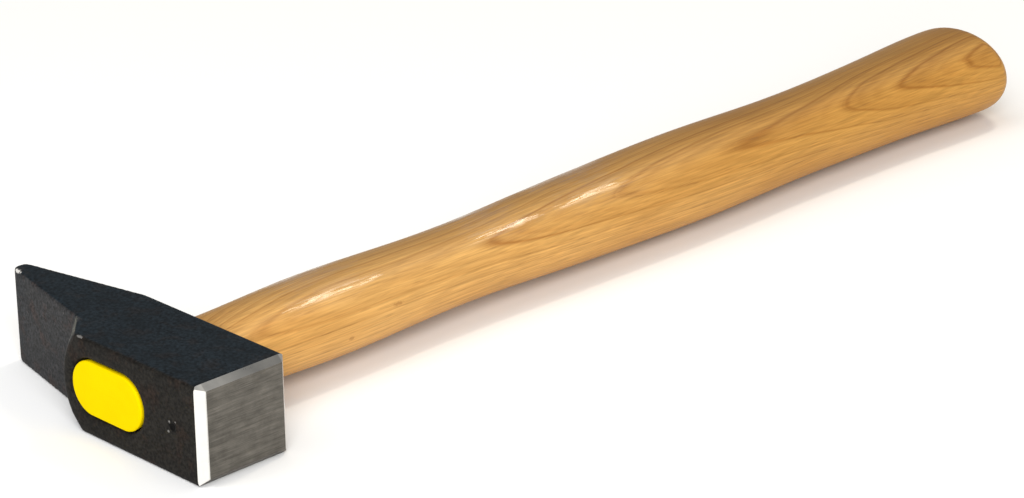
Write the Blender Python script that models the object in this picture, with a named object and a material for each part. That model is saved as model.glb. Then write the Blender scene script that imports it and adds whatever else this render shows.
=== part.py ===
"""A cross-peen hammer with a square face: forged head, wedged ash handle and a cast seal in the eye.

The tool lies on its cheek. +Z is up out of the upper cheek, +Y runs along the handle from the crown
of the head to the butt, and +X points out of the striking face. The origin lies on the lower cheek,
straight below the middle of the eye.
"""

import math

import bmesh
import bpy
from mathutils import Matrix

MM = 0.001

# Driving dimensions, in metres and radians
HEAD_THICKNESS = 25.0 * MM  # from cheek to cheek, along Z
HEAD_DEPTH = 26.8 * MM  # from crown to back, along Y
EYE_TO_FACE = 33.6 * MM
EYE_TO_PEEN = 54.9 * MM
FACE_CHAMFER = 1.9 * MM

PEEN_EDGE_RADIUS = 2.4 * MM
PEEN_EDGE_Y = 3.5 * MM  # the peen's edge lies this far from mid-depth, towards the butt
PEEN_FRONT_SLOPE = math.radians(12.5)  # the crown-side facet, against the crown
PEEN_BACK_SLOPE = math.radians(11.9)
BACK_BLEND_RADIUS = 20.0 * MM  # between the flat back and the peen's back facet

BOSS_RADIUS = 16.3 * MM  # round boss about the eye, at the crown
BOSS_SPREAD = math.radians(41.0)  # how far its wall leans out
BOSS_DEPTH = 14.5 * MM  # it ends inside the peen
BOSS_OVERLAP = 2.0 * MM

EYE_LENGTH = 26.6 * MM
EYE_WIDTH = 14.8 * MM
EYE_WAIST = 1.0 * MM  # how much the eye narrows all round at its waist
EYE_WAIST_Y = 3.0 * MM

SEAL_DEPTH = 4.0 * MM
SEAL_PROUD = 0.25 * MM
SEAL_ROUNDING = 0.6 * MM

BUTT_Y = 307.0 * MM
BUTT_DOME = 8.8 * MM
BUTT_LEAN = 1.2 * MM  # the flare at the butt stands further out on the peen side
LEAN_START_Y = 224.0 * MM
LEAN_END_Y = 290.0 * MM
DOME_LEAN = 1.6 * MM  # the top of the dome comes back towards the striking side

WOOD_WEDGE = {"width": 20.0 * MM, "thickness": 3.4 * MM, "tip": 0.6 * MM, "depth": 16.0 * MM}
STEEL_WEDGE = {"width": 9.6 * MM, "thickness": 2.6 * MM, "tip": 0.5 * MM, "depth": 12.0 * MM}
STEEL_WEDGE_X = 3.5 * MM

GAP = 0.3 * MM  # between pieces that touch
OVERSHOOT = 3.0 * MM  # how far a cutter passes the wall that it cuts

CROWN_Y = -HEAD_DEPTH / 2
BACK_Y = HEAD_DEPTH / 2
MID_Z = HEAD_THICKNESS / 2
TENON_Y = CROWN_Y + SEAL_DEPTH + GAP

# The grip from the shoulder to the dome: (Y, half width along X, half thickness along Z)
GRIP_STATIONS = [
    (BACK_Y + GAP, 13.0 * MM, 7.7 * MM),
    (24.0 * MM, 12.9 * MM, 9.2 * MM),
    (37.0 * MM, 13.1 * MM, 10.2 * MM),
    (55.0 * MM, 13.4 * MM, 10.6 * MM),
    (96.0 * MM, 12.3 * MM, 9.65 * MM),
    (137.0 * MM, 13.9 * MM, 10.9 * MM),
    (182.0 * MM, 15.0 * MM, 11.85 * MM),
    (224.0 * MM, 14.2 * MM, 11.15 * MM),
    (262.0 * MM, 15.4 * MM, 11.6 * MM),
    (290.0 * MM, 17.4 * MM, 12.4 * MM),
    (BUTT_Y - BUTT_DOME, 17.6 * MM, 12.4 * MM),
]
SHOULDER_BLEND = 14.0 * MM  # over this length the section turns from the eye's shape to an oval
GRIP_RINGS = 34
TENON_RINGS = 6
EYE_RINGS = 9
DOME_RINGS = 7
DOME_LAST = math.radians(80.0)  # where the dome ends in a small flat
RING_POINTS = 32
BOSS_POINTS = 64


def material(name, color, roughness, metallic=0.0, coat=0.0):
    made = bpy.data.materials.new(name)
    made.use_nodes = True
    shader = made.node_tree.nodes["Principled BSDF"]
    shader.inputs["Base Color"].default_value = (*color, 1.0)
    shader.inputs["Roughness"].default_value = roughness
    shader.inputs["Metallic"].default_value = metallic
    shader.inputs["Coat Weight"].default_value = coat
    made.diffuse_color = (*color, 1.0)
    return made


def collection(name):
    made = bpy.data.collections.new(name)
    bpy.context.scene.collection.children.link(made)
    return made


def mesh_object(name, shape, group, finish=None):
    """An object from a bmesh, shaded smooth with its sharp edges kept."""
    bmesh.ops.recalc_face_normals(shape, faces=shape.faces)
    mesh = bpy.data.meshes.new(name)
    shape.to_mesh(mesh)
    shape.free()
    mesh.shade_smooth()
    mesh.set_sharp_from_angle(angle=math.radians(30))
    if finish:
        mesh.materials.append(finish)
    made = bpy.data.objects.new(name, mesh)
    group.objects.link(made)
    return made


def cutter(name, shape, group):
    made = mesh_object(name, shape, group)
    made.hide_render = True
    made.display_type = "WIRE"
    return made


def combine(target, tool, operation="DIFFERENCE"):
    step = target.modifiers.new(tool.name, "BOOLEAN")
    step.operation = operation
    step.object = tool
    step.solver = "EXACT"


def smooth(share):
    """0 to 1 with a level start and end."""
    share = min(max(share, 0.0), 1.0)
    return share * share * (3 - 2 * share)


def spread(low, high, count):
    """Evenly spaced values from low to high."""
    return [low + (high - low) * i / (count - 1) for i in range(count)]


# Outlines, sections and lofts


def arc(middle, radius, start, end, points):
    """Points on an arc in the XY plane."""
    return [
        (middle[0] + radius * math.cos(turn), middle[1] + radius * math.sin(turn))
        for turn in spread(start, end, points)
    ]


def prism(outline, height):
    """A bmesh of a flat XY outline, raised from Z = 0."""
    shape = bmesh.new()
    floor = shape.faces.new([shape.verts.new((x, y, 0)) for x, y in outline])
    raised = bmesh.ops.extrude_face_region(shape, geom=[floor])["geom"]
    top = [part for part in raised if isinstance(part, bmesh.types.BMVert)]
    bmesh.ops.translate(shape, verts=top, vec=(0, 0, height))
    return shape


def section(half_x, half_z, ovalness=0.0):
    """Points (x, z) round a handle section: 0 is a slot with round ends, 1 is an ellipse."""
    straight = half_x - half_z
    ring = []
    for i in range(RING_POINTS):
        turn = 2 * math.pi * (i + 0.5) / RING_POINTS
        slot_x = math.copysign(straight, math.cos(turn)) + half_z * math.cos(turn)
        oval_x = half_x * math.cos(turn)
        ring.append((slot_x + (oval_x - slot_x) * ovalness, half_z * math.sin(turn)))
    return ring


def loft(rings):
    """A closed bmesh through rings along Y, each (y, shift along X, section points)."""
    shape = bmesh.new()
    loops = [
        [shape.verts.new((shift + x, y, MID_Z + z)) for x, z in points]
        for y, shift, points in rings
    ]
    for near, far in zip(loops, loops[1:]):
        for i in range(RING_POINTS):
            j = (i + 1) % RING_POINTS
            shape.faces.new((near[i], near[j], far[j], far[i]))
    shape.faces.new(loops[0])
    shape.faces.new(loops[-1])
    return shape


# The head


def eye_half_sizes(y):
    """Half length and half width of the eye, which narrows from both mouths to a waist."""
    reach = (BACK_Y if y > EYE_WAIST_Y else CROWN_Y) - EYE_WAIST_Y
    share = min(abs((y - EYE_WAIST_Y) / reach), 1.0)
    inset = EYE_WAIST * (1 - share * share)
    return EYE_LENGTH / 2 - inset, EYE_WIDTH / 2 - inset


def head_outline():
    """The head seen along Z, without the boss: crown, peen and back."""
    edge = arc(
        (-EYE_TO_PEEN + PEEN_EDGE_RADIUS, PEEN_EDGE_Y),
        PEEN_EDGE_RADIUS,
        -math.pi / 2 - PEEN_FRONT_SLOPE,
        -3 * math.pi / 2 + PEEN_BACK_SLOPE,
        9,
    )
    front_x, front_y = edge[0]
    step_y = front_y + front_x * math.tan(PEEN_FRONT_SLOPE)  # the crown-side facet, run on to X = 0

    rear_x, rear_y = edge[-1]
    corner_x = rear_x + (BACK_Y - rear_y) / math.tan(PEEN_BACK_SLOPE)
    tangent = BACK_BLEND_RADIUS * math.tan(PEEN_BACK_SLOPE / 2)
    back = arc(
        (corner_x + tangent, BACK_Y - BACK_BLEND_RADIUS),
        BACK_BLEND_RADIUS,
        math.pi / 2 + PEEN_BACK_SLOPE,
        math.pi / 2,
        6,
    )
    crown = [(EYE_TO_FACE, CROWN_Y), (0.0, CROWN_Y), (0.0, step_y)]
    return crown + edge + back + [(EYE_TO_FACE, BACK_Y)]


def boss_shape():
    """Half of a leaning round wall about the eye, cut to the thickness of the head."""
    shape = bmesh.new()
    bmesh.ops.create_cone(
        shape,
        cap_ends=True,
        segments=BOSS_POINTS,
        radius1=BOSS_RADIUS,
        radius2=BOSS_RADIUS + BOSS_DEPTH * math.tan(BOSS_SPREAD),
        depth=BOSS_DEPTH,
        matrix=Matrix.Translation((0, CROWN_Y + BOSS_DEPTH / 2, MID_Z))
        @ Matrix.Rotation(-math.pi / 2, 4, "X"),
    )
    sides = (
        ((0, 0, 0), (0, 0, -1)),
        ((0, 0, HEAD_THICKNESS), (0, 0, 1)),
        ((BOSS_OVERLAP, 0, 0), (1, 0, 0)),
    )
    for point, outward in sides:
        whole = list(shape.verts) + list(shape.edges) + list(shape.faces)
        sliced = bmesh.ops.bisect_plane(
            shape, geom=whole, plane_co=point, plane_no=outward, clear_outer=True
        )
        rim = [part for part in sliced["geom_cut"] if isinstance(part, bmesh.types.BMEdge)]
        bmesh.ops.edgenet_fill(shape, edges=rim)
    return shape


def make_head(parts, cutters, finish):
    shape = prism(head_outline(), HEAD_THICKNESS)
    rim = [e for e in shape.edges if all(v.co.x > EYE_TO_FACE - GAP for v in e.verts)]
    bmesh.ops.bevel(
        shape, geom=rim, offset=FACE_CHAMFER, offset_type="OFFSET", segments=1, affect="EDGES"
    )
    head = mesh_object("head", shape, parts, finish)
    combine(head, cutter("boss_block", boss_shape(), cutters), "UNION")

    depths = spread(CROWN_Y - OVERSHOOT, BACK_Y + OVERSHOOT, EYE_RINGS)
    rings = [(y, 0.0, section(*eye_half_sizes(y))) for y in depths]
    combine(head, cutter("eye_cutter", loft(rings), cutters))


# The handle and its wedges


def grip_half_sizes(y):
    """Half width and half thickness of the grip, on a smooth curve through the stations."""
    last = len(GRIP_STATIONS) - 1
    at = max([0] + [i for i in range(last) if GRIP_STATIONS[i][0] <= y])
    before, here, after, beyond = (
        GRIP_STATIONS[min(max(i, 0), last)] for i in range(at - 1, at + 3)
    )
    span = after[0] - here[0]
    t = (y - here[0]) / span
    sizes = []
    for k in (1, 2):
        leave = (after[k] - before[k]) / (after[0] - before[0]) * span
        reach = (beyond[k] - here[k]) / (beyond[0] - here[0]) * span
        curve = (2 * t**3 - 3 * t**2 + 1) * here[k] + (3 * t**2 - 2 * t**3) * after[k]
        sizes.append(curve + (t**3 - 2 * t**2 + t) * leave + (t**3 - t**2) * reach)
    return sizes


def lean(y):
    return -BUTT_LEAN * smooth((y - LEAN_START_Y) / (LEAN_END_Y - LEAN_START_Y))


def handle_rings():
    rings = []
    for y in spread(TENON_Y, BACK_Y, TENON_RINGS):
        half_x, half_z = eye_half_sizes(y)
        rings.append((y, 0.0, section(half_x - GAP, half_z - GAP)))

    dome_y = BUTT_Y - BUTT_DOME
    for y in spread(BACK_Y + GAP, dome_y, GRIP_RINGS):
        ovalness = smooth((y - BACK_Y) / SHOULDER_BLEND)
        rings.append((y, lean(y), section(*grip_half_sizes(y), ovalness)))

    half_x, half_z = grip_half_sizes(dome_y)
    for turn in spread(0.0, DOME_LAST, DOME_RINGS)[1:]:
        share = math.sin(turn) / math.sin(DOME_LAST)
        size = math.cos(turn)
        shift = lean(dome_y) + DOME_LEAN * share
        rings.append((dome_y + BUTT_DOME * share, shift, section(half_x * size, half_z * size, 1.0)))
    return rings


def wedge_shape(size, room=0.0):
    """A wedge with its thick end up at the tenon's end and its point down the handle, along X.

    With some room it is the slot that the wedge sits in, open at the tenon's end.
    """
    top_y = TENON_Y - (OVERSHOOT if room else 0.0)
    slope = (size["thickness"] - size["tip"]) / 2 / size["depth"]
    top = size["thickness"] / 2 + (TENON_Y - top_y) * slope + room
    tip = size["tip"] / 2 + room
    tip_y = TENON_Y + size["depth"] + room
    half = size["width"] / 2 + room
    shape = bmesh.new()
    bmesh.ops.create_cube(shape, size=2.0)
    for vert in shape.verts:
        pointed = vert.co.y > 0
        vert.co.x *= half
        vert.co.z *= tip if pointed else top
        vert.co.y = tip_y if pointed else top_y
    return shape


def placed_wedge(size, turn, x, room=0.0):
    shape = wedge_shape(size, room)
    turned = Matrix.Translation((x, 0, MID_Z)) @ Matrix.Rotation(turn, 4, "Y")
    bmesh.ops.transform(shape, matrix=turned, verts=shape.verts)
    return shape


def make_handle(parts, cutters, ash, hardwood, steel):
    handle = mesh_object("handle", loft(handle_rings()), parts, ash)
    kerf = cutter("kerf_cutter", placed_wedge(WOOD_WEDGE, 0.0, 0.0, GAP), cutters)
    across = placed_wedge(STEEL_WEDGE, math.pi / 2, STEEL_WEDGE_X, GAP)
    cross_slot = cutter("cross_slot_cutter", across, cutters)

    wood_wedge = mesh_object("wood_wedge", placed_wedge(WOOD_WEDGE, 0.0, 0.0), parts, hardwood)
    for piece in (handle, wood_wedge):
        combine(piece, cross_slot)
    combine(handle, kerf)

    steel_wedge = placed_wedge(STEEL_WEDGE, math.pi / 2, STEEL_WEDGE_X)
    mesh_object("steel_wedge", steel_wedge, parts, steel)


def make_end_seal(parts, finish):
    half_x, half_z = eye_half_sizes(CROWN_Y)
    half_x -= GAP
    half_z -= GAP
    outer_y = CROWN_Y - SEAL_PROUD
    rings = []
    for turn in spread(0.0, math.pi / 2, 4):
        inset = SEAL_ROUNDING * (1 - math.sin(turn))
        y = outer_y + SEAL_ROUNDING * (1 - math.cos(turn))
        rings.append((y, 0.0, section(half_x - inset, half_z - inset)))
    inner_y = CROWN_Y + SEAL_DEPTH
    low_x, low_z = eye_half_sizes(inner_y)
    rings.append((inner_y, 0.0, section(low_x - GAP, low_z - GAP)))
    mesh_object("end_seal", loft(rings), parts, finish)


def main():
    for item in list(bpy.data.objects):
        bpy.data.objects.remove(item)
    parts = collection("brick_hammer")
    cutters = collection("cutters")

    black_steel = material("black_lacquered_steel", (0.025, 0.028, 0.03), 0.42, 0.3, 0.3)
    bare_steel = material("bare_steel", (0.45, 0.44, 0.42), 0.4, 1.0)
    ash = material("lacquered_ash", (0.62, 0.38, 0.16), 0.38, 0.0, 0.4)
    hardwood = material("wedge_wood", (0.45, 0.27, 0.13), 0.6)
    yellow = material("yellow_resin", (0.95, 0.75, 0.01), 0.35)

    make_head(parts, cutters, black_steel)
    make_handle(parts, cutters, ash, hardwood, bare_steel)
    make_end_seal(parts, yellow)


main()
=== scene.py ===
import math

import bmesh
import bpy
from mathutils import Euler, Matrix, Vector


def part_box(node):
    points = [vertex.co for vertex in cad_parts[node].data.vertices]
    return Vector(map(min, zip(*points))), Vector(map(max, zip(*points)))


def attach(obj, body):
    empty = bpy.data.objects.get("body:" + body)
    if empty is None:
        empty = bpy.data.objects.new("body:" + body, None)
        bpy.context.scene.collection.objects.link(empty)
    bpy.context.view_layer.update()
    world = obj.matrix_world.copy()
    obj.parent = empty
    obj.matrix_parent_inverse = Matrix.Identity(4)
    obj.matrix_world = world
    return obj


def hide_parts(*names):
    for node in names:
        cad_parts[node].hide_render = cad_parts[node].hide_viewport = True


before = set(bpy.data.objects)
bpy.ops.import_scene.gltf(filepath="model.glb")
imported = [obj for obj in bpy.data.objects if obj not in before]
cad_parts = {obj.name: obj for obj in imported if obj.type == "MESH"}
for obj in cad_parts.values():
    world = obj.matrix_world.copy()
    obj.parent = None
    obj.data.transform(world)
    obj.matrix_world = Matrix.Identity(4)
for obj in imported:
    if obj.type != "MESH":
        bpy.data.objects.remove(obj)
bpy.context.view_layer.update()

mm = 0.001
ringSlack = 0.00001  # points nearer than this, in metres, are on the same ring
mergeDistance = 0.000001
headLow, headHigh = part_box("head")
handleLow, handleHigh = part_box("handle")
sealLow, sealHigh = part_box("end_seal")

crownY = headLow.y
backY = headHigh.y
faceX = headHigh.x
tipX = headLow.x
topZ = headHigh.z
midZ = topZ / 2
tenonY = handleLow.y
buttY = handleHigh.y

print("frame loaded, head", [round(1000 * v, 1) for v in headHigh - headLow], "mm")


# Mesh tools

def deselectAll():
    if bpy.context.object and bpy.context.object.mode != "OBJECT":
        bpy.ops.object.mode_set(mode="OBJECT")
    bpy.ops.object.select_all(action="DESELECT")


def makeActive(piece):
    deselectAll()
    piece.select_set(True)
    bpy.context.view_layer.objects.active = piece


def newPiece(name):
    piece = bpy.context.object
    piece.name = name
    piece.data.name = name
    bpy.ops.object.transform_apply(location=True, rotation=True, scale=True)
    return piece


def openEdit(piece, everything=False):
    makeActive(piece)
    bpy.ops.object.mode_set(mode="EDIT")
    bpy.ops.mesh.select_mode(type="VERT")
    bpy.ops.mesh.select_all(action="SELECT" if everything else "DESELECT")


def closeEdit():
    bpy.ops.object.mode_set(mode="OBJECT")


def pick(piece, wanted):
    bpy.ops.mesh.select_mode(type="VERT")
    bpy.ops.mesh.select_all(action="DESELECT")
    shape = bmesh.from_edit_mesh(piece.data)
    for vert in shape.verts:
        vert.select_set(bool(wanted(vert.co)))
    shape.select_flush(True)
    bmesh.update_edit_mesh(piece.data)


def cutAway(piece, point, outward):
    openEdit(piece, True)
    bpy.ops.mesh.bisect(plane_co=point, plane_no=outward, use_fill=True, clear_outer=True)
    closeEdit()


def tidyNormals(piece):
    openEdit(piece, True)
    bpy.ops.mesh.remove_doubles(threshold=mergeDistance)
    bpy.ops.mesh.normals_make_consistent(inside=False)
    closeEdit()


def applyStep(piece, kind, **settings):
    step = piece.modifiers.new(kind.lower(), kind)
    for key, value in settings.items():
        setattr(step, key, value)
    makeActive(piece)
    bpy.ops.object.modifier_apply(modifier=step.name)


def combine(base, tool, operation):
    applyStep(base, "BOOLEAN", operation=operation, object=tool, solver="EXACT")
    bpy.data.objects.remove(tool)


def smoothShade(piece, degrees):
    makeActive(piece)
    bpy.ops.object.shade_smooth_by_angle(angle=math.radians(degrees))


def easeStep(share):
    share = min(max(share, 0.0), 1.0)
    return share * share * (3 - 2 * share)


def evenSteps(low, high, count):
    return [low + (high - low) * i / (count - 1) for i in range(count)]


def ringLoft(name, sides, rings):
    # Rings along Y, each (y, middle along X, half width, half thickness, 0 for a slot to 1 for an oval)
    deselectAll()
    y = rings[0][0]
    startZ = rings[0][3]
    bpy.ops.mesh.primitive_circle_add(
        vertices=sides,
        radius=startZ,
        fill_type="NGON",
        location=(0, y, midZ),
        rotation=Euler((math.pi / 2, math.pi / sides, 0)),
    )
    piece = newPiece(name)
    openEdit(piece, True)
    nowMiddle, nowSpread, nowX, nowZ = 0.0, 0.0, startZ, startZ
    for at, (nextY, middle, halfX, halfZ, oval) in enumerate(rings):
        if at:
            bpy.ops.mesh.extrude_region_move(TRANSFORM_OT_translate={"value": (0, nextY - y, 0)})
        y = nextY
        reach = halfZ + (halfX - halfZ) * oval
        spread = (halfX - halfZ) * (1 - oval)
        for side in (-1, 1):
            pick(piece, lambda co: abs(co.y - y) < ringSlack and (co.x - nowMiddle) * side > 0)
            bpy.ops.transform.resize(
                value=(reach / nowX, 1, halfZ / nowZ),
                center_override=(nowMiddle + side * nowSpread, y, midZ),
            )
            moved = middle - nowMiddle + side * (spread - nowSpread)
            bpy.ops.transform.translate(value=(moved, 0, 0))
        nowMiddle, nowSpread, nowX, nowZ = middle, spread, reach, halfZ
        pick(piece, lambda co: abs(co.y - y) < ringSlack)
    closeEdit()
    tidyNormals(piece)
    return piece


# Shader tools

textureDesign = {
    "rimScale": 1900.0,  # of the ragged rims of spots
    "rimDepth": 1.1,  # in half sizes of the spot
    "rimFade": (1.1, 0.6),  # from clear to full, in half sizes
    "speckScale": 900.0,
    "gritScale": 1250.0,
    "stainScale": 210.0,
    "patchScale": 260.0,  # of the uneven patches between grinding marks
    "coarseScale": 0.22,  # of the coarser grinding marks, as a share of the fine ones'
    "coarseShare": 0.4,
}

grainDesign = {
    "pithX": -0.048,  # where the middle of the tree lies
    "pithZ": -0.0515,
    "ringWidth": 0.0013,
    "waviness": 0.0006,
    "fibreScale": 2200.0,
    "waveStretch": (70, 12, 70),
    "rippleStretch": (420, 45, 420),
    "rippleShare": 0.35,
    "mottleStretch": (90, 22, 90),
    "fibreSqueeze": 0.028,  # along the grain, so smaller means longer
    "poreSqueeze": 0.06,
    # How dark a yearly ring is: at its two ends, and at shares of its width between them
    "ringEnds": 0.5,
    "ringStops": [(0.055, 1.0), (0.15, 0.5), (0.42, 0.22), (0.8, 0.0), (0.94, 0.06)],
    "weakLines": 3.0,  # to a ring
    "weakLineWander": 0.8,
    "weakLineStrength": 0.5,
    "poreFade": (0.6, 0.72),
    "poresEverywhere": 0.25,  # share of the pores that keep off the rings
}


def addNode(tree, kind, inputs=None, **settings):
    made = tree.nodes.new(kind)
    for key, value in settings.items():
        setattr(made, key, value)
    for key, value in (inputs or {}).items():
        if isinstance(value, bpy.types.NodeSocket):
            tree.links.new(value, made.inputs[key])
        else:
            made.inputs[key].default_value = value
    return made


def calc(tree, operation, first, second=0.0, third=0.0, clamp=False):
    inputs = {0: first, 1: second, 2: third}
    made = addNode(tree, "ShaderNodeMath", inputs, operation=operation, use_clamp=clamp)
    return made.outputs[0]


def times(tree, first, second):
    return calc(tree, "MULTIPLY", first, second)


def remap(tree, value, fromLow, fromHigh, toLow=0.0, toHigh=1.0, kind="SMOOTHSTEP"):
    made = addNode(
        tree,
        "ShaderNodeMapRange",
        {0: value, 1: fromLow, 2: fromHigh, 3: toLow, 4: toHigh},
        interpolation_type=kind,
    )
    return made.outputs[0]


def mixColour(tree, share, first, second, blend="MIX"):
    inputs = {0: share, 6: first, 7: second}
    return addNode(tree, "ShaderNodeMix", inputs, data_type="RGBA", blend_type=blend).outputs[2]


def shadeBy(tree, colour, shade):
    grey = addNode(tree, "ShaderNodeCombineColor", {0: shade, 1: shade, 2: shade}).outputs[0]
    return mixColour(tree, 1.0, colour, grey, "MULTIPLY")


def splitAxes(tree, vector):
    return addNode(tree, "ShaderNodeSeparateXYZ", {0: vector}).outputs


def stretched(tree, vector, scale, shift=(0, 0, 0)):
    made = addNode(tree, "ShaderNodeMapping", {"Vector": vector, "Location": shift, "Scale": scale})
    return made.outputs[0]


def noise(tree, vector, scale, detail=2.0, roughness=0.5):
    inputs = {"Vector": vector, "Scale": scale, "Detail": detail, "Roughness": roughness}
    return addNode(tree, "ShaderNodeTexNoise", inputs).outputs[0]


def spotMask(tree, vector, centre, size):
    # An egg-shaped spot with a ragged rim, centre and half size in mm
    d = textureDesign
    scale = [1 / (mm * v) for v in size]
    nearby = stretched(tree, vector, scale, [-c * mm * k for c, k in zip(centre, scale)])
    reach = addNode(tree, "ShaderNodeVectorMath", {0: nearby}, operation="LENGTH").outputs["Value"]
    rim = noise(tree, vector, d["rimScale"], 3.0, 0.7)
    inward = calc(tree, "SUBTRACT", reach, d["rimDepth"])
    ragged = calc(tree, "MULTIPLY_ADD", rim, 2 * d["rimDepth"], inward)
    return remap(tree, ragged, *d["rimFade"])


def newGroup(name, inputs, outputs):
    group = bpy.data.node_groups.new(name, "ShaderNodeTree")
    for label, kind, value in inputs:
        socket = group.interface.new_socket(name=label, in_out="INPUT", socket_type="NodeSocket" + kind)
        if kind == "Float":
            socket.default_value = value
    for label in outputs:
        group.interface.new_socket(name=label, in_out="OUTPUT", socket_type="NodeSocketFloat")
    start = group.nodes.new("NodeGroupInput")
    end = group.nodes.new("NodeGroupOutput")
    return group, start.outputs, end.inputs


def place(tree, group, inputs):
    made = tree.nodes.new("ShaderNodeGroup")
    made.node_tree = group
    for key, value in inputs.items():
        if isinstance(value, bpy.types.NodeSocket):
            tree.links.new(value, made.inputs[key])
        else:
            made.inputs[key].default_value = value
    return made.outputs


def newMaterial(name):
    made = bpy.data.materials.new(name)
    made.use_nodes = True
    tree = made.node_tree
    shader = tree.nodes["Principled BSDF"]
    where = tree.nodes.new("ShaderNodeTexCoord").outputs["Object"]
    return made, tree, shader, where


def finishWith(tree, shader, colour, roughness, height, bump=0.3, distance=0.0002):
    tree.links.new(colour, shader.inputs["Base Color"])
    tree.links.new(roughness, shader.inputs["Roughness"])
    raised = addNode(tree, "ShaderNodeBump", {"Strength": bump, "Distance": distance, "Height": height})
    tree.links.new(raised.outputs[0], shader.inputs["Normal"])


def grainGroup():
    # Yearly rings about a pith line along Y, with fibres and open pores between them
    d = grainDesign
    inputs = [
        ("Vector", "Vector", None),
        ("Pith X", "Float", d["pithX"]),
        ("Pith Z", "Float", d["pithZ"]),
        ("Ring Width", "Float", d["ringWidth"]),
        ("Ring Shift", "Float", 0.0),
        ("Waviness", "Float", d["waviness"]),
        ("Fibre Scale", "Float", d["fibreScale"]),
    ]
    tree, given, out = newGroup("woodGrain", inputs, ["Rings", "Fibre", "Pores", "Mottle"])
    spot = given["Vector"]
    apart = splitAxes(tree, spot)
    across = calc(tree, "SUBTRACT", apart[0], given["Pith X"])
    upward = calc(tree, "SUBTRACT", apart[2], given["Pith Z"])
    squares = calc(tree, "ADD", times(tree, across, across), times(tree, upward, upward))
    fromPith = calc(tree, "SQRT", squares)
    wave = noise(tree, stretched(tree, spot, d["waveStretch"]), 1.0)
    ripple = noise(tree, stretched(tree, spot, d["rippleStretch"]), 1.0)
    drift = times(tree, calc(tree, "SUBTRACT", wave, 0.5), given["Waviness"])
    rippled = times(tree, given["Waviness"], d["rippleShare"])
    drift = calc(tree, "MULTIPLY_ADD", calc(tree, "SUBTRACT", ripple, 0.5), rippled, drift)
    depth = calc(tree, "ADD", calc(tree, "ADD", fromPith, given["Ring Shift"]), drift)
    count = calc(tree, "DIVIDE", depth, given["Ring Width"])
    ringNumber = calc(tree, "FLOOR", count)
    share = calc(tree, "SUBTRACT", count, ringNumber)
    odd = addNode(tree, "ShaderNodeTexWhiteNoise", {"W": ringNumber}, noise_dimensions="1D").outputs[0]
    profile = addNode(tree, "ShaderNodeValToRGB", {0: share})
    ramp = profile.color_ramp
    ramp.interpolation = "EASE"
    for end, at in ((0, 0.0), (-1, 1.0)):
        ramp.elements[end].position = at
        ramp.elements[end].color = (d["ringEnds"], d["ringEnds"], d["ringEnds"], 1)
    for at, value in d["ringStops"]:
        ramp.elements.new(at).color = (value, value, value, 1)
    strength = remap(tree, odd, 0.0, 1.0, 0.5, 1.0, "LINEAR")
    rings = times(tree, profile.outputs[0], strength)
    # Weak lines between the yearly ones
    between = calc(tree, "MULTIPLY_ADD", count, d["weakLines"], times(tree, ripple, d["weakLineWander"]))
    between = calc(tree, "FRACT", between)
    between = times(tree, remap(tree, between, 0.0, 0.3), remap(tree, between, 1.0, 0.35))
    rings = calc(tree, "MULTIPLY_ADD", between, times(tree, wave, d["weakLineStrength"]), rings)
    fibreSpot = stretched(tree, spot, (1.0, d["fibreSqueeze"], 1.0))
    fibre = noise(tree, fibreSpot, given["Fibre Scale"], 3.0, 0.6)
    poreSpot = stretched(tree, spot, (1.0, d["poreSqueeze"], 1.0), (0.3, 0.1, 0.2))
    pore = noise(tree, poreSpot, given["Fibre Scale"], 1.0)
    poreBand = calc(tree, "MULTIPLY_ADD", rings, 1 - d["poresEverywhere"], d["poresEverywhere"])
    pores = calc(tree, "MULTIPLY", remap(tree, pore, *d["poreFade"]), poreBand, clamp=True)
    mottle = noise(tree, stretched(tree, spot, d["mottleStretch"], (4, 2, 1)), 1.0, 3.0)
    for label, value in (("Rings", rings), ("Fibre", fibre), ("Pores", pores), ("Mottle", mottle)):
        tree.links.new(value, out[label])
    return tree


def scratchGroup():
    # Fine marks left along one line by a grinding belt
    d = textureDesign
    inputs = [("Vector", "Vector", None), ("Fineness", "Float", 5000.0), ("Length", "Float", 0.03)]
    tree, given, out = newGroup("grindMarks", inputs, ["Marks", "Patches"])
    squeeze = addNode(tree, "ShaderNodeCombineXYZ", {0: 1.0, 1: given["Length"], 2: 1.0}).outputs[0]
    factors = {0: given["Vector"], 1: squeeze}
    along = addNode(tree, "ShaderNodeVectorMath", factors, operation="MULTIPLY").outputs[0]
    fine = noise(tree, along, given["Fineness"], 3.0, 0.7)
    coarse = noise(tree, along, times(tree, given["Fineness"], d["coarseScale"]), 2.0, 0.6)
    marks = calc(tree, "MULTIPLY_ADD", fine, 1 - d["coarseShare"], times(tree, coarse, d["coarseShare"]))
    patches = noise(tree, given["Vector"], d["patchScale"], 3.0, 0.6)
    tree.links.new(marks, out["Marks"])
    tree.links.new(patches, out["Patches"])
    return tree


def skinGroup():
    # Uneven film or cast skin: orange peel, cloudy patches, specks, fine grit and broad stains
    d = textureDesign
    inputs = [("Vector", "Vector", None), ("Peel Scale", "Float", 1400.0), ("Cloud Scale", "Float", 120.0)]
    labels = ["Peel", "Clouds", "Specks", "Grit", "Stain"]
    tree, given, out = newGroup("unevenSkin", inputs, labels)
    spot = given["Vector"]
    peel = noise(tree, spot, given["Peel Scale"])
    clouds = noise(tree, spot, given["Cloud Scale"], 4.0, 0.6)
    specks = remap(tree, noise(tree, spot, d["speckScale"], 1.0), 0.72, 0.78)
    grit = noise(tree, spot, d["gritScale"], 3.0, 0.7)
    elsewhere = stretched(tree, spot, (1, 1, 1), (0.4, 0.2, 0.7))
    stain = noise(tree, elsewhere, d["stainScale"], 3.0, 0.6)
    for label, value in zip(labels, (peel, clouds, specks, grit, stain)):
        tree.links.new(value, out[label])
    return tree


grain = grainGroup()
grindMarks = scratchGroup()
unevenSkin = skinGroup()
print("node groups built")


# Forged head

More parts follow.
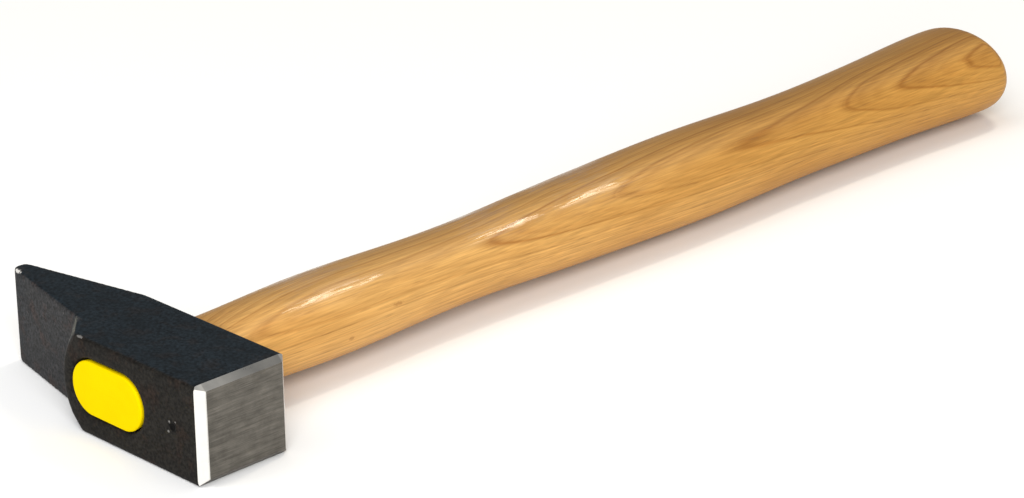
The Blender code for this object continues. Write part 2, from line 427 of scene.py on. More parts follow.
headDesign = {
    "frontSlope": math.radians(12.5),  # of the peen's crown-side facet
    "backSlope": math.radians(11.9),
    "tipRadius": 2.4 * mm,
    "tipY": 3.5 * mm,
    "bossRadius": 16.3 * mm,
    "bossSpread": math.radians(41),
    "bossDepth": 14.5 * mm,
    "eyeLength": 26.6 * mm,
    "eyeWidth": 14.8 * mm,
    "eyeWaist": 1.0 * mm,
    "eyeWaistY": 3.0 * mm,
    "overlap": 2.0 * mm,  # how far peen and boss reach into the poll
    "crownChamfer": (1.2 * mm, 2.55 * mm),  # back from the face and in from the crown
    "faceChamfer": 1.5 * mm,  # on the other three sides
    "grindStock": 1.5 * mm,  # steel that the face is ground back from
    "lowerClip": 0.8 * mm,  # how much the corners are knocked back
    "upperClip": 0.5 * mm,
    "bossClip": 0.1 * mm,
    "dotRadius": 1.15 * mm,
    "dotDepth": 0.55 * mm,
    "dotX": 24.2 * mm,
    "dotZ": 12.6 * mm,
    "dotShadeSize": 1.5,  # half size of the painted shade inside the dot, mm
    "voxel": 0.42 * mm,
    "softening": 16,  # passes that round the forged edges
    # The bluish tint is a painted reflection of bluish surroundings; the crown face takes crownLacquer
    # instead
    "blackLacquer": (0.0088, 0.0130, 0.0168, 1),
    "crownLacquer": (0.0125, 0.0112, 0.0095, 1),
    "wornLacquer": (0.030, 0.029, 0.0295, 1),
    "wallReflectionGrey": (0.092, 0.090, 0.075, 1),
    "brownHaze": (1.35, 0.98, 0.86, 1),
    "speckGrey": (0.05, 0.05, 0.05, 1),
    "pitShadeBlack": (0.002, 0.002, 0.002, 1),
    "bareSpotAndGlint": (0.62, 0.6, 0.57, 1),
    # Where the film is knocked through, and painted highlights by the punched dot: place and half size of
    # each spot in mm, and how bare or bright it is
    "knocksAndGlints": [
        ((-52.2, 0.9, 24.7), (1.9, 0.9, 0.55), 1.0),
        ((-9.4, -13.1, 24.7), (1.2, 0.6, 0.3), 0.22),
        ((-26.5, -4.9, 22.9), (0.35, 0.4, 0.3), 0.15),
        # Painted highlights on the punched dot's rim, drawn as bare steel
        ((23.1, -13.3, 13.5), (0.35, 0.6, 0.45), 0.35),
        ((25.2, -13.3, 14.0), (0.3, 0.6, 0.3), 0.2),
        ((22.6, -13.3, 11.0), (0.3, 0.6, 0.35), 0.25),
    ],
    "filmShine": 0.06,
    # Where the facet's rubbed film and the wall's painted reflection fade in, from untouched to full
    "facetDepth": (0.5 * mm, 0.1 * mm),
    "facetFade": (-15 * mm, -19 * mm),
    "facetTip": 12 * mm,  # the film is thicker again this near to the peen's edge
    "wallFadeX": (-8 * mm, -10 * mm),
    "wallFadeY": (4 * mm, 3 * mm),
    "wallFadeZ": (13 * mm, 20 * mm),
    "faceSteel": (0.150, 0.139, 0.121, 1),
    "chamferSteel": (0.90, 0.885, 0.845, 1),
}


def eyeSizes(y):
    reach = (backY if y > headDesign["eyeWaistY"] else crownY) - headDesign["eyeWaistY"]
    share = min(abs((y - headDesign["eyeWaistY"]) / reach), 1.0)
    inset = headDesign["eyeWaist"] * (1 - share * share)
    return headDesign["eyeLength"] / 2 - inset, headDesign["eyeWidth"] / 2 - inset


def blockOf(name, low, high):
    low, high = Vector(low), Vector(high)
    deselectAll()
    bpy.ops.mesh.primitive_cube_add(size=1, location=(low + high) / 2, scale=high - low)
    return newPiece(name)


def makePeen():
    d = headDesign
    peen = blockOf("peenBlank", (tipX, crownY, 0), (d["overlap"], backY, topZ))
    frontFacet = Vector((-math.sin(d["frontSlope"]), -math.cos(d["frontSlope"]), 0))
    backFacet = Vector((-math.sin(d["backSlope"]), math.cos(d["backSlope"]), 0))
    tip = Vector((tipX + d["tipRadius"], d["tipY"], midZ))
    cutAway(peen, tip + frontFacet * d["tipRadius"], frontFacet)
    cutAway(peen, tip + backFacet * d["tipRadius"], backFacet)
    openEdit(peen)
    pick(peen, lambda co: co.x < tipX + 0.1 * mm)
    bpy.ops.mesh.select_mode(type="EDGE")
    shape = bmesh.from_edit_mesh(peen.data)
    for edge in shape.edges:
        upright = abs(edge.verts[0].co.z - edge.verts[1].co.z) > topZ / 2
        edge.select_set(bool(edge.select and upright))
    bmesh.update_edit_mesh(peen.data)
    reach = d["tipRadius"] * math.tan((math.pi / 2 - d["backSlope"]) / 2)
    bpy.ops.mesh.bevel(offset=reach * 0.99, segments=6, affect="EDGES")
    closeEdit()
    return peen


def makeBoss():
    d = headDesign
    deselectAll()
    bpy.ops.mesh.primitive_cone_add(
        vertices=96,
        radius1=d["bossRadius"],
        radius2=d["bossRadius"] + d["bossDepth"] * math.tan(d["bossSpread"]),
        depth=d["bossDepth"],
        location=(0, crownY + d["bossDepth"] / 2, midZ),
        rotation=(-math.pi / 2, 0, 0),
    )
    boss = newPiece("bossBlank")
    cutAway(boss, (0, 0, 0), (0, 0, -1))
    cutAway(boss, (0, 0, topZ), (0, 0, 1))
    cutAway(boss, (d["overlap"], 0, 0), (1, 0, 0))
    return boss


def chamferPlanes():
    back, side = headDesign["crownChamfer"]
    inner = headDesign["faceChamfer"]
    planes = (
        ((faceX, crownY + side, 0), (side, -back, 0)),
        ((faceX, backY - inner, 0), (1, 1, 0)),
        ((faceX, 0, inner), (1, 0, -1)),
        ((faceX, 0, topZ - inner), (1, 0, 1)),
    )
    return [(Vector(point), Vector(outward).normalized()) for point, outward in planes]


def clipCorner(head, corner, outward, depth):
    # A turned block takes a corner off, and the smoothing rounds what is left
    outward = Vector(outward).normalized()
    size = 8 * mm
    deselectAll()
    bpy.ops.mesh.primitive_cube_add(
        size=size,
        location=Vector(corner) + outward * (size / 2 - depth),
        rotation=outward.to_track_quat("Z", "Y").to_euler(),
    )
    combine(head, newPiece("cornerClip"), "DIFFERENCE")


def punchDot(head):
    d = headDesign
    deselectAll()
    bpy.ops.mesh.primitive_cone_add(
        vertices=28,
        radius1=d["dotRadius"] * 1.5,
        radius2=0.0,
        depth=d["dotDepth"] * 1.5,
        location=(d["dotX"], crownY + d["dotDepth"] / 4, d["dotZ"]),
        rotation=(-math.pi / 2, 0, 0),
    )
    combine(head, newPiece("centrePunch"), "DIFFERENCE")


def makeHead():
    d = headDesign
    head = blockOf("headForging", (0, crownY, 0), (faceX + d["grindStock"], backY, topZ))
    combine(head, makePeen(), "UNION")
    combine(head, makeBoss(), "UNION")
    rings = [(y, 0.0, *eyeSizes(y), 0.0) for y in evenSteps(crownY - 3 * mm, backY + 3 * mm, 13)]
    combine(head, ringLoft("eyeDrift", 64, rings), "DIFFERENCE")
    tidyNormals(head)
    bossCorner = -math.sqrt(d["bossRadius"] ** 2 - midZ**2)
    clipCorner(head, (tipX, d["tipY"], 0), (-1, 0, -1), d["lowerClip"])
    clipCorner(head, (tipX, d["tipY"], topZ), (-1, 0, 1), d["upperClip"])
    clipCorner(head, (bossCorner, crownY, 0), (-0.6, -0.5, -0.6), d["bossClip"])
    applyStep(head, "REMESH", mode="VOXEL", voxel_size=d["voxel"])
    applyStep(head, "SMOOTH", factor=0.5, iterations=d["softening"])

    cutAway(head, (faceX, 0, 0), (1, 0, 0))
    for point, outward in chamferPlanes():
        cutAway(head, point, outward)
    punchDot(head)
    smoothShade(head, 24)
    return head


def markGroundFaces(head, faceMaterial, chamferMaterial):
    # The lower chamfer gets the darker face steel: painted shade for its reflection of the shadow under the
    # head
    head.data.materials.append(faceMaterial)
    head.data.materials.append(chamferMaterial)
    planes = [(Vector((faceX, 0, 0)), Vector((1, 0, 0)), 1)]
    planes += [(point, outward, 1 if outward.z < 0 else 2) for point, outward in chamferPlanes()]
    for polygon in head.data.polygons:
        for point, outward, index in planes:
            level = abs((polygon.center - point).dot(outward)) < 0.05 * mm
            if level and polygon.normal.dot(outward) > 0.99:
                polygon.material_index = index
                polygon.use_smooth = False


def rubbedFacet(tree, apart, marks):
    # The peen's crown-side facet shows steel through a thin, rubbed film
    d = headDesign
    slope = math.tan(d["frontSlope"])
    depth = calc(tree, "MULTIPLY_ADD", apart[0], slope, apart[1])
    level = d["tipY"] + (tipX + d["tipRadius"]) * slope - d["tipRadius"] / math.cos(d["frontSlope"])
    untouched, bare = d["facetDepth"]
    onFacet = remap(tree, depth, level + untouched, level + bare)
    onFacet = times(tree, onFacet, remap(tree, apart[0], *d["facetFade"]))
    middle = remap(tree, apart[0], tipX, tipX + d["facetTip"], 0.55, 1.0)
    scored = remap(tree, marks["Marks"], 0.3, 0.7, 0.55, 1.1)
    return times(tree, onFacet, times(tree, middle, scored))


def wallReflection(tree, apart, grit):
    # Painted reflection: the boss's wall is lightened along its upper half
    d = headDesign
    upward = calc(tree, "SUBTRACT", apart[2], midZ)
    squares = calc(tree, "ADD", calc(tree, "POWER", apart[0], 2.0), calc(tree, "POWER", upward, 2.0))
    fromEye = calc(tree, "SQRT", squares)
    inward = calc(tree, "SUBTRACT", apart[1], crownY)
    wall = calc(tree, "MULTIPLY_ADD", inward, math.tan(d["bossSpread"]), d["bossRadius"])
    offWall = calc(tree, "ABSOLUTE", calc(tree, "SUBTRACT", fromEye, wall))
    onWall = remap(tree, offWall, 0.5 * mm, 0.15 * mm)
    fades = (
        (apart[2], *d["wallFadeZ"]),
        (apart[1], crownY + 0.5 * mm, crownY + 1.6 * mm),
        (apart[0], *d["wallFadeX"]),
        (apart[1], *d["wallFadeY"]),
        (apart[2], topZ - 0.25 * mm, topZ - 0.6 * mm),
    )
    for value, untouched, rubAndSheen in fades:
        onWall = times(tree, onWall, remap(tree, value, untouched, rubAndSheen))
    return times(tree, onWall, remap(tree, grit, 0.38, 0.6, 0.35, 1.0))


def lacquerMaterial():
    made, tree, shader, where = newMaterial("blackLacquer")
    d = headDesign
    skin = place(tree, unevenSkin, {"Vector": where, "Peel Scale": 1500.0, "Cloud Scale": 110.0})
    marks = place(tree, grindMarks, {"Vector": where, "Fineness": 1800.0, "Length": 0.08})
    apart = splitAxes(tree, where)
    rubAndSheen = rubbedFacet(tree, apart, marks)
    onCrown = remap(tree, apart[1], crownY + 1.2 * mm, crownY + 0.2 * mm)
    colour = mixColour(tree, onCrown, d["blackLacquer"], d["crownLacquer"])
    colour = mixColour(tree, rubAndSheen, colour, d["wornLacquer"])
    # Painted reflection on the boss's wall
    colour = mixColour(tree, wallReflection(tree, apart, skin["Grit"]), colour, d["wallReflectionGrey"])
    browned = mixColour(tree, 1.0, colour, d["brownHaze"], "MULTIPLY")
    colour = mixColour(tree, remap(tree, skin["Stain"], 0.5, 0.68, 0.0, 0.9), colour, browned)
    shade = remap(tree, skin["Clouds"], 0.3, 0.7, 0.78, 1.22, "LINEAR")
    shade = times(tree, shade, remap(tree, skin["Grit"], 0.36, 0.64, 0.45, 1.6, "LINEAR"))
    colour = shadeBy(tree, colour, shade)
    colour = mixColour(tree, times(tree, skin["Specks"], 0.2), colour, d["speckGrey"])
    # Knocked-through spots, and the painted highlights by the dot
    for centre, size, bare in d["knocksAndGlints"]:
        spot = times(tree, spotMask(tree, where, centre, size), bare)
        colour = mixColour(tree, spot, colour, d["bareSpotAndGlint"])
    # Painted shade: the inside of the punched dot is darkened where it would lie in shadow
    dot = [v / mm for v in (d["dotX"], crownY, d["dotZ"])]
    pitShade = spotMask(tree, where, dot, [d["dotShadeSize"]] * 3)
    colour = mixColour(tree, times(tree, pitShade, 0.8), colour, d["pitShadeBlack"])
    roughness = calc(tree, "MULTIPLY_ADD", skin["Clouds"], 0.16, 0.44)
    scored = times(tree, times(tree, marks["Marks"], rubAndSheen), 0.8)
    height = calc(tree, "MULTIPLY_ADD", skin["Peel"], 0.5, scored)
    shader.inputs["Specular IOR Level"].default_value = d["filmShine"]
    finishWith(tree, shader, colour, roughness, height, 0.35, 0.0001)
    return made


def groundSteel(name, colour, roughness, sway, sheenAlongChamfers=False):
    made, tree, shader, where = newMaterial(name)
    shader.inputs["Metallic"].default_value = 1.0
    marks = place(tree, grindMarks, {"Vector": where, "Fineness": 5200.0, "Length": 0.035})
    shade = remap(tree, marks["Marks"], 0.3, 0.7, 1 - sway, 1 + sway, "LINEAR")
    broad = sway * 0.6
    shade = times(tree, shade, remap(tree, marks["Patches"], 0.3, 0.7, 1 - broad, 1 + broad, "LINEAR"))
    if sheenAlongChamfers:
        # Painted highlight: bright along the crown side, darker toward the back, and lifted again along the
        # back edge
        y = splitAxes(tree, where)[1]
        chamferSheen = remap(tree, y, crownY + 2.6 * mm, crownY + 21 * mm, 0.7, 0.42)
        chamferSheen = calc(tree, "ADD", chamferSheen, remap(tree, y, backY - 1.6 * mm, backY - 1.2 * mm, 0.0, 0.25))
        chamferSheen = calc(tree, "ADD", chamferSheen, remap(tree, y, crownY + 2.7 * mm, crownY + 2.3 * mm, 0.0, 0.3))
        shade = times(tree, shade, chamferSheen)
    rough = remap(tree, marks["Patches"], 0.3, 0.7, roughness - 0.06, roughness + 0.06, "LINEAR")
    finishWith(tree, shader, shadeBy(tree, colour, shade), rough, marks["Marks"], 0.3, 0.00006)
    return made


head = makeHead()
blackLacquer = lacquerMaterial()
head.data.materials.append(blackLacquer)
faceSteel = groundSteel("groundFace", headDesign["faceSteel"], 0.5, 0.4)
chamferSteel = groundSteel("groundChamfer", headDesign["chamferSteel"], 0.33, 0.05, True)
markGroundFaces(head, faceSteel, chamferSteel)
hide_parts("head")
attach(head, "root")
print("head forged,", len(head.data.polygons), "faces")


# Ash handle

handleDesign = {
    "sides": 40,
    # Y, half width along X, half thickness along Z, from the shoulder to the dome
    "stations": [
        (backY + 0.3 * mm, 13.0 * mm, 7.7 * mm),
        (24.0 * mm, 12.9 * mm, 9.2 * mm),
        (37.0 * mm, 13.1 * mm, 10.2 * mm),
        (55.0 * mm, 13.4 * mm, 10.6 * mm),
        (96.0 * mm, 12.3 * mm, 9.65 * mm),
        (137.0 * mm, 13.9 * mm, 10.9 * mm),
        (182.0 * mm, 15.0 * mm, 11.85 * mm),
        (224.0 * mm, 14.2 * mm, 11.15 * mm),
        (262.0 * mm, 15.4 * mm, 11.6 * mm),
        (290.0 * mm, 17.4 * mm, 12.4 * mm),
        (buttY - 8.8 * mm, 17.6 * mm, 12.4 * mm),
    ],
    "gripRings": 34,
    "shoulderBlend": 14.0 * mm,
    "tenonGap": 0.3 * mm,
    "dome": 8.8 * mm,
    "buttLean": 1.2 * mm,  # the flare stands further out on the peen side
    "leanStartY": 224.0 * mm,
    "leanEndY": 290.0 * mm,
    "domeLean": 1.6 * mm,
    "kerf": (20.6, 3.4, 0.6, 16.0),  # width, thickness, tip and depth of the wedges' slots, mm
    "crossKerf": (10.2, 2.6, 0.5, 12.0),
    "crossKerfX": 3.5 * mm,
    "paleWood": (0.650, 0.362, 0.112, 1),
    "warmWood": (0.50, 0.242, 0.055, 1),
    "darkWood": (0.31, 0.120, 0.022, 1),
    # Darker and warmer toward the butt: painted shade for the light falling off along the handle
    "buttShadeTint": (0.85, 0.785, 0.57, 1),
    # Pin knots: place and half size, mm
    "flecks": [
        ((12.7, 67.2, 14.8), (0.5, 1.9, 0.5)),
        ((13.1, 51.4, 10.6), (0.5, 0.9, 0.6)),
    ],
    "fleckBrown": (0.24, 0.085, 0.018, 1),
    "fleckShare": 0.4,
    "poreBrown": (0.22, 0.10, 0.03, 1),
    "poreShare": 0.45,
    "buttShadeFade": (0.07, 0.25),  # Y in metres over which the butt's darker, warmer tint comes in: painted shade for the light falling off along the handle
    "headFade": (20 * mm, 55 * mm),  # Y over which the painted light beside the head ends
    "shadedSideTone": 0.62,  # painted shade: tone of the upper peen side
    "sideStep": (50.0, 67.0),  # to a metre, along X and along Z
    # Stretches along Y where the lacquer is thickest, mm
    "thickFilm": [(40, 58), (99, 116), (130, 153)],
    "filmFade": 5,  # mm at each end of a stretch
    "filmRise": (5 * mm, 8 * mm),  # above the middle, where the thick film begins
    "filmIndex": 1.6,
    "filmRoughness": 0.22,
    "woodShine": 0.16,
    "ringWidth": 1.3 * mm,
    # Y and how far the tree's rings shift there, mm: it sets where each loop of grain has its tip
    "ringLean": [
        (0, -2.2),
        (25, -1.9),
        (55, -1.85),
        (103, -0.6),
        (148, -0.74),
        (180, -0.45),
        (200, 0.2),
        (237, 1.83),
        (262, 2.93),
        (288, 3.2),
        (310, 4.1),
    ],
    # The curve that carries the shifts runs from 0 to 1: its length, lowest shift and height in mm
    "leanCurve": (320, -3, 8),
    "firstRing": 0.75,  # mm added to every shift
}


def gripSizes(y):
    stations = handleDesign["stations"]
    last = len(stations) - 1
    at = max([0] + [i for i in range(last) if stations[i][0] <= y])
    before, here, after, beyond = (stations[min(max(i, 0), last)] for i in range(at - 1, at + 3))
    span = after[0] - here[0]
    t = (y - here[0]) / span
    sizes = []
    for k in (1, 2):
        leave = (after[k] - before[k]) / (after[0] - before[0]) * span
        reach = (beyond[k] - here[k]) / (beyond[0] - here[0]) * span
        curve = (2 * t**3 - 3 * t**2 + 1) * here[k] + (3 * t**2 - 2 * t**3) * after[k]
        sizes.append(curve + (t**3 - 2 * t**2 + t) * leave + (t**3 - t**2) * reach)
    return sizes


def leanAt(y):
    d = handleDesign
    return -d["buttLean"] * easeStep((y - d["leanStartY"]) / (d["leanEndY"] - d["leanStartY"]))


def handleRings():
    d = handleDesign
    rings = []
    for y in evenSteps(tenonY, backY, 6):
        halfX, halfZ = eyeSizes(y)
        rings.append((y, 0.0, halfX - d["tenonGap"], halfZ - d["tenonGap"], 0.0))
    domeY = buttY - d["dome"]
    for y in evenSteps(backY + 0.3 * mm, domeY, d["gripRings"]):
        oval = easeStep((y - backY) / d["shoulderBlend"])
        rings.append((y, leanAt(y), *gripSizes(y), oval))
    halfX, halfZ = gripSizes(domeY)
    lastTurn = math.radians(82)
    for turn in evenSteps(0.0, lastTurn, 9)[1:]:
        share = math.sin(turn) / math.sin(lastTurn)
        size = math.cos(turn)
        middle = leanAt(domeY) + d["domeLean"] * share
        rings.append((domeY + d["dome"] * share, middle, halfX * size, halfZ * size, 1.0))
    return rings


def wedgeCutter(name, size, turn, x):
    width, thickness, tip, depth = (v * mm for v in size)
    room = 0.3 * mm
    start = tenonY - 3 * mm
    slope = (thickness - tip) / 2 / depth
    wide = thickness / 2 + 3 * mm * slope + room
    narrow = tip / 2 + room
    cutter = blockOf(name, (-width / 2, start, -wide), (width / 2, tenonY + depth + room, wide))
    openEdit(cutter)
    pick(cutter, lambda co: co.y > 0)
    bpy.ops.transform.resize(value=(1, 1, narrow / wide), center_override=(0, 0, 0))
    closeEdit()
    cutter.data.transform(Matrix.Translation((x, 0, midZ)) @ Matrix.Rotation(turn, 4, "Y"))
    return cutter


def makeHandle():
    d = handleDesign
    handle = ringLoft("handleStick", d["sides"], handleRings())
    applyStep(handle, "SUBSURF", levels=1, render_levels=1)
    combine(handle, wedgeCutter("kerfCutter", d["kerf"], 0.0, 0.0), "DIFFERENCE")
    combine(handle, wedgeCutter("crossCutter", d["crossKerf"], math.pi / 2, d["crossKerfX"]), "DIFFERENCE")
    tidyNormals(handle)
    smoothShade(handle, 30)
    return handle


def leanNode(tree, y):
    d = handleDesign
    length, lowest, height = d["leanCurve"]
    lean = addNode(tree, "ShaderNodeFloatCurve", {"Value": calc(tree, "DIVIDE", y, length * mm)})
    curve = lean.mapping.curves[0]
    points = [(at / length, (shift - lowest) / height) for at, shift in d["ringLean"]]
    curve.points[0].location = points[0]
    curve.points[1].location = points[-1]
    for point in points[1:-1]:
        curve.points.new(*point)
    lean.mapping.update()
    return calc(tree, "MULTIPLY_ADD", lean.outputs[0], height * mm, (lowest + d["firstRing"]) * mm)


def filmMask(tree, where, y, raised):
    # The film lies thick in ragged runs along the top and thin between them
    d = handleDesign
    fade = d["filmFade"]
    frayed = noise(tree, stretched(tree, where, (900, 55, 900)), 1.0, 3.0, 0.7)
    frayedY = calc(tree, "MULTIPLY_ADD", calc(tree, "SUBTRACT", frayed, 0.5), 0.06, y)
    film = 0.0
    for start, end in d["thickFilm"]:
        run = remap(tree, frayedY, (start - fade) * mm, (start + fade) * mm)
        run = times(tree, run, remap(tree, frayedY, (end + fade) * mm, (end - fade) * mm))
        film = calc(tree, "MAXIMUM", run, film)
    thinned = noise(tree, stretched(tree, where, (1900, 90, 1900), (2, 5, 1)), 1.0, 3.0, 0.7)
    film = times(tree, film, remap(tree, thinned, 0.4, 0.57, 0.08, 1.0))
    return times(tree, film, remap(tree, raised, *d["filmRise"]))


def ashMaterial():
    made, tree, shader, where = newMaterial("lacqueredAsh")
    d = handleDesign
    x, y, z = splitAxes(tree, where)
    shift = leanNode(tree, y)
    wood = place(tree, grain, {"Vector": where, "Ring Width": d["ringWidth"], "Ring Shift": shift})

    # Across the stick: 1 on the upper peen side, -1 on the lower striking side
    raised = calc(tree, "SUBTRACT", z, midZ)
    alongX, alongZ = d["sideStep"]
    side = calc(tree, "MULTIPLY_ADD", x, -alongX, times(tree, raised, alongZ))
    # 0 in the plane through the pith, where the loops of grain lie, and growing to both sides of it
    ridge = calc(tree, "ABSOLUTE", calc(tree, "MULTIPLY_ADD", x, alongZ, times(tree, raised, -alongX)))
    mottled = remap(tree, wood["Mottle"], 0.35, 0.7, 0.0, 0.45)
    colour = mixColour(tree, mottled, d["paleWood"], d["warmWood"])
    rings = times(tree, wood["Rings"], remap(tree, ridge, 0.35, 0.95, 0.68, 0.44))
    colour = mixColour(tree, rings, colour, d["darkWood"])
    # Painted shade toward the butt
    shadedAtButt = mixColour(tree, 1.0, colour, d["buttShadeTint"], "MULTIPLY")
    colour = mixColour(tree, remap(tree, y, *d["buttShadeFade"]), colour, shadedAtButt)
    for centre, size in d["flecks"]:
        fleck = times(tree, spotMask(tree, where, centre, size), d["fleckShare"])
        colour = mixColour(tree, fleck, colour, d["fleckBrown"])
    toneAndShade = remap(tree, wood["Fibre"], 0.25, 0.75, 0.76, 1.2, "LINEAR")
    # Painted light on the lower striking side and painted shade on the upper peen side
    toneAndShade = times(tree, toneAndShade, remap(tree, side, -1.0, 0.0, 1.04, 1.0))
    toneAndShade = times(tree, toneAndShade, remap(tree, side, -0.1, 0.9, 1.0, d["shadedSideTone"]))
    # Painted light beside the head
    toneAndShade = times(tree, toneAndShade, remap(tree, y, *d["headFade"], 1.1, 1.0))
    colour = shadeBy(tree, colour, toneAndShade)
    colour = mixColour(tree, times(tree, wood["Pores"], d["poreShare"]), colour, d["poreBrown"])
    roughness = calc(tree, "MULTIPLY_ADD", wood["Fibre"], 0.2, 0.32)
    height = calc(tree, "SUBTRACT", times(tree, wood["Fibre"], 0.6), times(tree, wood["Pores"], 0.6))
    tree.links.new(filmMask(tree, where, y, raised), shader.inputs["Coat Weight"])
    shader.inputs["Coat Roughness"].default_value = d["filmRoughness"]
    shader.inputs["Coat IOR"].default_value = d["filmIndex"]
    shader.inputs["Specular IOR Level"].default_value = d["woodShine"]
    finishWith(tree, shader, colour, roughness, height, 0.4, 0.00012)
    return made


wedgeDesign = {
    "wood": (0.47, 0.28, 0.135, 1),
    "woodRing": (0.25, 0.13, 0.055, 1),
    "woodPore": (0.12, 0.06, 0.025, 1),
    "ringWidth": 0.9 * mm,
    "steel": (0.45, 0.44, 0.42, 1),
}


def wedgeWoodMaterial():
    made, tree, shader, where = newMaterial("wedgeHardwood")
    d = wedgeDesign
    given = {"Vector": where, "Ring Width": d["ringWidth"], "Pith X": 0.03, "Pith Z": 0.02}
    wood = place(tree, grain, given)
    colour = mixColour(tree, wood["Rings"], d["wood"], d["woodRing"])
    colour = mixColour(tree, times(tree, wood["Pores"], 0.5), colour, d["woodPore"])
    roughness = calc(tree, "MULTIPLY_ADD", wood["Fibre"], 0.2, 0.5)
    finishWith(tree, shader, colour, roughness, wood["Fibre"], 0.4, 0.00015)
    return made


handle = makeHandle()
handle.data.materials.append(ashMaterial())
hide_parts("handle")
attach(handle, "root")
print("handle turned,", len(handle.data.polygons), "faces")

wedgeFinishes = {
    "wood_wedge": wedgeWoodMaterial(),
    "steel_wedge": groundSteel("wedgeSteel", wedgeDesign["steel"], 0.42, 0.2),
}
for name, finish in wedgeFinishes.items():
    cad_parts[name].material_slots[0].material = finish
print("wedges finished")


# Resin seal in the eye

sealDesign = {
    "gap": 0.5 * mm,
    "rim": 0.12 * mm,  # how far the rim lies below the highest point of the resin
    "rounding": 0.5 * mm,
    "yellow": (0.81, 0.595, 0.0, 1),
    "deepYellow": (0.77, 0.53, 0.0, 1),
    "shine": 0.005,
}


def makeSeal():
    d = sealDesign
    rings = []
    halfX, halfZ = (v - d["gap"] for v in eyeSizes(crownY))
    innerX, innerZ = (v - d["gap"] for v in eyeSizes(sealHigh.y))
    rings.append((sealHigh.y, 0.0, innerX, innerZ, 0.0))
    rimY = sealLow.y + d["rim"]
    for turn in evenSteps(math.pi / 2, 0.0, 5):
        inset = d["rounding"] * (1 - math.sin(turn))
        rings.append((rimY + d["rounding"] * (1 - math.cos(turn)), 0.0, halfX - inset, halfZ - inset, 0.0))
    rimX, rimZ = halfX - d["rounding"], halfZ - d["rounding"]
    for share in (0.12, 0.3, 0.5, 0.75, 0.92):
        inset = rimZ * share
        rings.append((rimY - d["rim"] * math.sin(share * math.pi / 2), 0.0, rimX - inset, rimZ - inset, 0.0))
    seal = ringLoft("eyeSeal", 64, rings)
    smoothShade(seal, 40)
    return seal


def resinMaterial():
    made, tree, shader, where = newMaterial("yellowResin")
    d = sealDesign
    skin = place(tree, unevenSkin, {"Vector": where, "Peel Scale": 700.0, "Cloud Scale": 160.0})
    cloudy = remap(tree, skin["Clouds"], 0.35, 0.7, 0.0, 0.35)
    colour = mixColour(tree, cloudy, d["yellow"], d["deepYellow"])
    roughness = calc(tree, "MULTIPLY_ADD", skin["Clouds"], 0.14, 0.32)
    shader.inputs["Specular IOR Level"].default_value = d["shine"]
    finishWith(tree, shader, colour, roughness, skin["Peel"], 0.12, 0.00015)
    return made


seal = makeSeal()
seal.data.materials.append(resinMaterial())
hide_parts("end_seal")
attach(seal, "root")
print("seal cast")


# Floor, light and camera

stageDesign = {
    "floorColour": (0.93, 0.93, 0.925, 1),
    "floorCloud": (0.9, 0.9, 0.9, 1),
    "floorSize": 12,
    "floorDrop": 0.0001,  # below the cheek that the tool lies on
    "worldSeen": 1.0,  # what the camera sees behind the floor
    "worldLight": 0.36,
    "lightAim": (0.0, 0.1, 0.02),
    "keyPower": 19.0,
    "keyPlace": (0.95, -0.75, 0.75),
    "keySize": 1.0,
    "fillPower": 3.0,
    "fillPlace": (-0.5, -0.9, 0.8),
    "fillSize": 1.0,
    "topPower": 6.5,
    "topPlace": (-0.2, -0.2, 1.5),
    "topSize": 1.4,
    "glintPower": 4.0,
    "glintColour": (1.0, 0.9, 0.72),
    "glintLength": 0.42,
    "glintPlace": (-0.08, 0.88, 1.17),
    "glintSize": 0.11,
    "cameraPlace": (0.60287, -0.46506, 0.35463),
    "azimuth": 45.94,
    "elevation": 22.31,
    "roll": -0.847,
    "lens": 124.34,
    "sensor": 36,
    "nearest": 0.01,
    "furthest": 50,
}


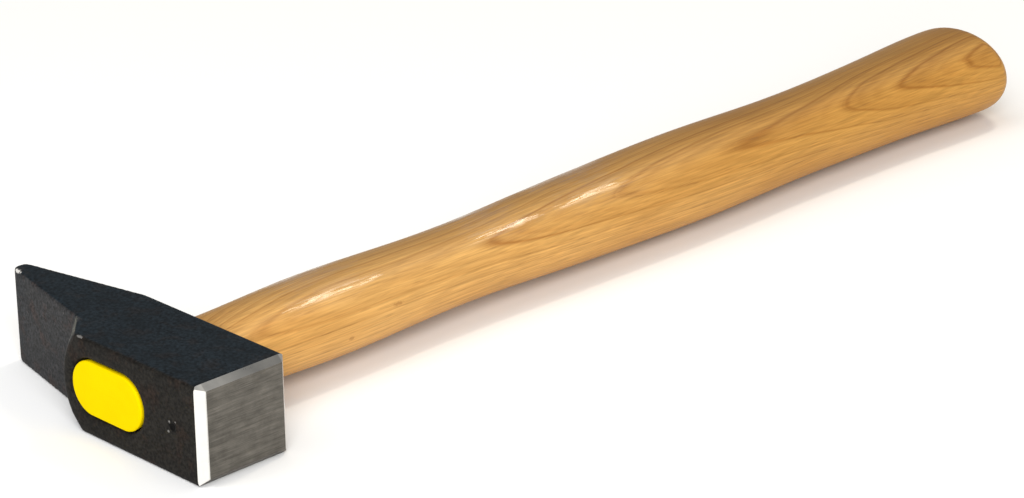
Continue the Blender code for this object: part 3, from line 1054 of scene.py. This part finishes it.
def makeFloor():
    d = stageDesign
    deselectAll()
    bpy.ops.mesh.primitive_plane_add(size=d["floorSize"], location=(0, 0, -d["floorDrop"]))
    floor = newPiece("floor")
    made, tree, shader, where = newMaterial("paleFloor")
    skin = place(tree, unevenSkin, {"Vector": where, "Peel Scale": 300.0, "Cloud Scale": 3.0})
    cloudy = remap(tree, skin["Clouds"], 0.3, 0.7, 0.0, 0.2)
    colour = mixColour(tree, cloudy, d["floorColour"], d["floorCloud"])
    roughness = calc(tree, "MULTIPLY_ADD", skin["Clouds"], 0.1, 0.75)
    finishWith(tree, shader, colour, roughness, skin["Peel"], 0.05, 0.0001)
    shader.inputs["Specular IOR Level"].default_value = 0.1
    floor.data.materials.append(made)


def makeWorld():
    world = bpy.data.worlds.new("studio")
    bpy.context.scene.world = world
    world.use_nodes = True
    tree = world.node_tree
    back = tree.nodes["Background"]
    seen = addNode(tree, "ShaderNodeLightPath").outputs["Is Camera Ray"]
    d = stageDesign
    level = calc(tree, "MULTIPLY_ADD", seen, d["worldSeen"] - d["worldLight"], d["worldLight"])
    back.inputs["Color"].default_value = (1, 1, 1, 1)
    tree.links.new(level, back.inputs["Strength"])


def makeSoftbox(kind):
    d = stageDesign
    at = Vector(d[kind + "Place"])
    deselectAll()
    bpy.ops.object.light_add(type="AREA", location=at)
    light = bpy.context.object
    light.name = kind + "Light"
    light.data.shape = "ELLIPSE"
    light.data.size = d[kind + "Size"]
    light.data.size_y = d.get(kind + "Length", d[kind + "Size"])
    light.data.energy = d[kind + "Power"]
    light.data.color = d.get(kind + "Colour", (1, 1, 1))
    light.rotation_euler = (at - Vector(d["lightAim"])).to_track_quat("Z", "Y").to_euler()
    light.visible_camera = False


def makeCamera():
    d = stageDesign
    deselectAll()
    bpy.ops.object.camera_add(location=d["cameraPlace"])
    camera = bpy.context.object
    turn = Matrix.Rotation(math.radians(d["azimuth"]), 4, "Z")
    turn = turn @ Matrix.Rotation(math.radians(90 - d["elevation"]), 4, "X")
    turn = turn @ Matrix.Rotation(math.radians(d["roll"]), 4, "Z")
    camera.rotation_euler = turn.to_euler()
    camera.data.sensor_width = d["sensor"]
    camera.data.lens = d["lens"]
    camera.data.clip_start = d["nearest"]
    camera.data.clip_end = d["furthest"]
    bpy.context.scene.camera = camera


makeFloor()
makeWorld()
for kind in ("key", "fill", "top", "glint"):
    makeSoftbox(kind)
makeCamera()
bpy.context.scene.view_settings.view_transform = "Standard"
print("stage set")
